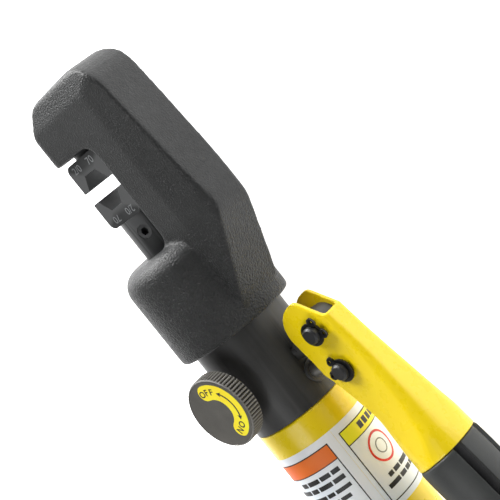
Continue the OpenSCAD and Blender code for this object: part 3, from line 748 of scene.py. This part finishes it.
def clip_outline():
    """A circlip as (across, up) points: an open ring with a drilled lug each side of the gap at its top."""
    ring = [(0.0, -PIN_R - 1.9)]
    ring += [at(PIN_R + 1.9 - 0.7 * (k / 16) ** 2, -90 + 122 * k / 16) for k in range(1, 17)]
    lug = [(4.7, 3.1), (5.1, 3.9), (4.9, 5.1), (4.0, 5.8), (2.1, 5.9), (1.25, 5.3), (1.2, 4.3), (1.3, 2.9)]
    half = ring + lug + arc(PIN_R - 0.45, 62, -90, 19)
    return half + [(-x, z) for x, z in half[::-1] if x > 0.01]


def drilled_clip():
    """One flat circlip in the x-z plane, with the holes in its lugs."""
    clip = solid_of(plate(clip_outline(), -CLIP_T / 2, CLIP_T / 2), "clip")
    across, up, radius = LUG_HOLE
    rounds = [arc(radius, 0, 360, 16, (x, up))[:-1] for x in (across, -across)]
    drills = [solid_of(plate(outline, -4, 4), "drill") for outline in rounds]
    for drill in drills:
        cut(clip, drill, "DIFFERENCE")
    mesh = applied(clip)
    for drill in drills:
        bpy.data.objects.remove(drill)
    return mesh


def build_clips():
    """Four circlips, one near each end of both pins, with their gaps turned different ways."""
    clip = drilled_clip()
    bm = bmesh.new()
    for centre, turn in ((PIVOT, 72), (DRIVE, -59)):
        for side, degrees in ((-1, turn), (1, turn + 150)):
            copy = clip.copy()
            copy.transform(Matrix.Translation((centre.x, side * CLIP_Y, centre.z))
                           @ Matrix.Rotation(math.radians(degrees), 4, "Y"))
            bm.from_mesh(copy)
    mesh = bevelled(solid_of(bm, "clips"), CLIP_BEVEL, 2)
    mesh.transform(TOOL)
    piece("circlips", smooth_shaded(mesh, 35), "lever", "spring_steel", replaced=("pin_clips",))


build_pin("pin_pivot", PIVOT, "pivot_pin")
build_pin("pin_drive", DRIVE, "drive_pin")
build_clips()


# ---------------------------------------------------------------- labels on the barrel

SHEET_LOW, SHEET_HIGH = tool_box("barrel_labels")
LABEL_TOP = -SHEET_HIGH.z
LABEL_FOOT = -SHEET_LOW.z
SEAM = 57.5  # angle where the two labels meet
SEAM_GAP = 0.12
WORK_SWEEP = 105
CARE_SWEEP = 92.5
PRINT_LIFT = 0.10
HEADER_LIFT = 0.08
SHEET_LIFT = 0.04


def label_patch(name, top, foot, start, end, lift, material, replaced=()):
    """A thin curved sheet on the barrel between two depths and two angles, in degrees from -y to +x."""
    r = BARREL_R + lift
    columns = max(4, int(abs(end - start) / 3))
    turns = [math.radians(start + (end - start) * k / columns) for k in range(columns + 1)]
    rows = [[(r * math.sin(t), -r * math.cos(t), z) for t in turns] for z in (-top, -foot)]
    piece(name, wrapped_sheet(name, rows, 0.03), "tool_body", material, replaced)


def framed(tag, start, end, top, foot, line):
    """A thin printed frame; start and end are angles, top and foot depths."""
    turn = math.degrees(line / BARREL_R)
    edges = ((start, end, top, top + line), (start, end, foot - line, foot),
             (start, start + turn, top, foot), (end - turn, end, top, foot))
    for k, (a, b, t, f) in enumerate(edges):
        label_patch("frame_%s_%d" % (tag, k), t, f, a, b, PRINT_LIFT, "print_black")


def word_bars(tag, start, end, depth, height, words):
    """One line of print shown as plain bars, each a share of the line's length."""
    gap = 2.2
    room = (end - start) - gap * (len(words) - 1)
    left = start
    for k, share in enumerate(words):
        right = left + room * share / sum(words)
        label_patch("bar_%s_%d" % (tag, k), depth, depth + height, left, right, PRINT_LIFT, "print_black")
        left = right + gap


def build_work_label():
    """Label with an orange header over lines of print."""
    start, end = SEAM - WORK_SWEEP, SEAM - SEAM_GAP
    label_patch("sheet_work", LABEL_TOP, LABEL_FOOT, start, end, SHEET_LIFT, "label_sheet",
                ("barrel_labels",))
    a, b = start + 11, end - 10.5
    top, foot = LABEL_TOP + 3.3, LABEL_FOOT - 2.6
    label_patch("header_work", top, top + 7.2, a, b, HEADER_LIFT, "print_orange")
    framed("work_header", a, b, top, top + 7.4, 0.4)
    framed("work", a, b, top, foot, 0.45)
    word_bars("work_0", a + 20, b - 6, top + 9.6, 2.0, (3, 5, 4, 3))
    word_bars("work_1", a + 5, b - 6, top + 13.2, 2.0, (6, 3, 5, 4))
    for k, words in enumerate(((4, 7, 3, 6), (5, 3, 6, 4), (7, 4, 5, 2), (3, 6, 4, 5))):
        word_bars("work_%d" % (k + 2), a + 5, b - 6 - 7 * (k % 3), top + 17.4 + 3.6 * k, 1.7, words)


def ring_mark(name, angle, depth, radius, width, material):
    """A plain printed ring wrapped on the barrel."""
    r = BARREL_R + PRINT_LIFT
    rows = []
    for reach in (radius - width / 2, radius + width / 2):
        row = []
        for k in range(48):
            t = 2 * math.pi * k / 48
            turn = math.radians(angle) + reach * math.cos(t) / BARREL_R
            row.append((r * math.sin(turn), -r * math.cos(turn), -depth + reach * math.sin(t)))
        rows.append(row)
    piece(name, wrapped_sheet(name, rows, 0.04, closed=True), "tool_body", material)


def build_care_label():
    """Label with a yellow header, a plain ring and lines of print."""
    start, end = SEAM + SEAM_GAP, SEAM + CARE_SWEEP
    label_patch("sheet_care", LABEL_TOP, LABEL_FOOT, start, end, SHEET_LIFT, "label_sheet")
    a, b = start + 5, end - 5
    top, foot = LABEL_TOP + 3.3, LABEL_FOOT - 2.4
    label_patch("header_care", top, top + 6.6, a, b, HEADER_LIFT, "print_yellow")
    framed("care_header", a, b, top, top + 6.8, 0.4)
    framed("care", a, b, top, foot, 0.45)
    word_bars("care_title", a + 24, b - 14, top + 1.8, 3.0, (1, 1, 1, 1, 1))
    ring_mark("ring_care", a + 33, top + 15.4, 6.2, 0.95, "print_red")
    ring_mark("ring_care_inner", a + 33, top + 15.4, 2.9, 0.5, "mark_grey")
    word_bars("care_0", a + 16, b - 6, top + 25.0, 1.9, (2, 3, 6, 4))
    word_bars("care_1", a + 8, b - 6, top + 28.6, 1.9, (5, 3, 3, 6))


build_work_label()
build_care_label()


# ---------------------------------------------------------------- grip on the barrel

def build_fixed_grip():
    """The barrel's rubber grip, ringed with grooves and faintly fluted along its length."""
    low, high = tool_box("fixed_grip")
    r, top, foot, bore = high.x - 0.25, high.z, low.z, BARREL_R + 0.02
    profile = [(bore, top - 0.1), (r - 1.1, top - 0.1), (r - 0.3, top - 0.5), (r, top - 1.4)]
    grooves, margin, groove_depth = 26, 4, 0.75
    for k in range(grooves):
        z = top - margin - (top - foot - 2 * margin) * k / (grooves - 1)
        profile += [(r, z + 0.6), (r - groove_depth, z + 0.3), (r - groove_depth, z - 0.3), (r, z - 0.6)]
    profile += [(r, foot + 1.4), (r - 0.3, foot + 0.4), (r - 1.1, foot + 0.1), (bore, foot + 0.1)]
    sides, flutes = 192, 24

    def wobble(k, i):
        return 0.2 * math.cos(2 * math.pi * i / sides * flutes) if 4 < k < len(profile) - 5 else 0.0

    bm = revolve(profile, sides, "z", wobble)
    piece("barrel_sleeve", finished(bm, "barrel_sleeve", sharp_deg=35), "tool_body", "grip_rubber",
          replaced=("fixed_grip",))


build_fixed_grip()


# ---------------------------------------------------------------- floor, light and camera

def soft_floor():
    """A plain pale floor just under the tool."""
    half = 3.0
    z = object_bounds()[0][2] - 0.0002
    mesh = bpy.data.meshes.new("floor")
    corners = [(-half, -half, z), (half, -half, z), (half, half, z), (-half, half, z)]
    mesh.from_pydata(corners, [], [(0, 1, 2, 3)])
    mat, tree, shader = new_material("floor_pale")
    tone = mix_colour(tree, noise(tree, object_coords(tree), 3), (0.90, 0.90, 0.90), (0.92, 0.92, 0.92))
    tree.links.new(tone, shader.inputs["Base Color"])
    shader.inputs["Roughness"].default_value = 0.9
    shader.inputs["Specular IOR Level"].default_value = 0.1
    shader.inputs["Emission Color"].default_value = (1, 1, 1, 1)
    shader.inputs["Emission Strength"].default_value = 0.9
    mesh.materials.append(mat)
    placed("floor", mesh)


def area_light(name, towards, distance, size, power):
    """A soft square lamp aimed at the view's centre, placed along the camera's right, up and back axes."""
    lamp = bpy.data.lights.new(name, "AREA")
    lamp.shape = "SQUARE"
    lamp.size = size
    lamp.energy = power
    obj = placed(name, lamp)
    direction = (RIGHT * towards[0] + UP * towards[1] + BACK * towards[2]).normalized()
    obj.location = AIM + direction * distance
    obj.rotation_euler = direction.to_track_quat("Z", "Y").to_euler()


def place_camera():
    lens = bpy.data.cameras.new("camera")
    lens.sensor_fit = "HORIZONTAL"
    lens.angle = FIELD
    lens.clip_start = 0.01
    camera = placed("camera", lens)
    axes = Matrix((RIGHT, UP, BACK)).transposed().to_4x4()
    camera.matrix_world = Matrix.Translation(AIM + BACK * DISTANCE * MM) @ axes
    bpy.context.scene.camera = camera


def studio_world():
    """White surroundings that fade to dark grey on the camera's side, a little to its left and below."""
    world = bpy.data.worlds.new("studio")
    world.use_nodes = True
    tree = world.node_tree
    background = tree.nodes["Background"]
    coords = add(tree, "ShaderNodeTexCoord")
    dim_side = (0.8 * BACK - 0.4 * RIGHT - 0.4 * UP).normalized()
    facing = add(tree, "ShaderNodeVectorMath", {0: coords.outputs["Generated"], 1: tuple(dim_side)},
                 operation="DOT_PRODUCT")
    level = spread(tree, facing.outputs["Value"], -0.3, 0.65, WORLD_BRIGHT, WORLD_DIM)
    tree.links.new(level, background.inputs["Strength"])
    background.inputs["Color"].default_value = (1, 1, 1, 1)
    bpy.context.scene.world = world


# The camera's turn round the tool's length, its rise towards the head and its roll, then the point it looks
# at, its distance from that point in millimetres and its field of view.
TURN = math.radians(48.74)
RISE = math.radians(4.89)
ROLL = math.radians(-38.47)
AIM = TOOL @ Vector((16.68, 15.47, -54.52))
DISTANCE = 631.22
FIELD = math.radians(17.7854)
WORLD_BRIGHT = 1.4
WORLD_DIM = 0.06
EXPOSURE = 0.32

turn_only = TOOL.to_3x3() * (1 / MM)
back_tool = Vector((math.sin(TURN) * math.cos(RISE), -math.cos(TURN) * math.cos(RISE), math.sin(RISE)))
right_tool = Vector((math.cos(TURN), math.sin(TURN), 0))
up_tool = back_tool.cross(right_tool)
BACK = turn_only @ back_tool
RIGHT = turn_only @ (math.cos(ROLL) * right_tool + math.sin(ROLL) * up_tool)
UP = turn_only @ (-math.sin(ROLL) * right_tool + math.cos(ROLL) * up_tool)

place_camera()
studio_world()
area_light("key_left", (-1.0, 0.42, 0.0), 0.8, 0.5, 10)
area_light("key_right", (1.0, 0.6, 0.3), 0.8, 0.45, 28)
area_light("top", (0.1, 1.0, 0.25), 0.8, 0.4, 10)
area_light("fill_low", (-0.1, -0.8, 0.6), 0.9, 0.6, 2.6)
bpy.context.scene.view_settings.view_transform = "Standard"
bpy.context.scene.view_settings.look = "None"
bpy.context.scene.view_settings.exposure = EXPOSURE
soft_floor()
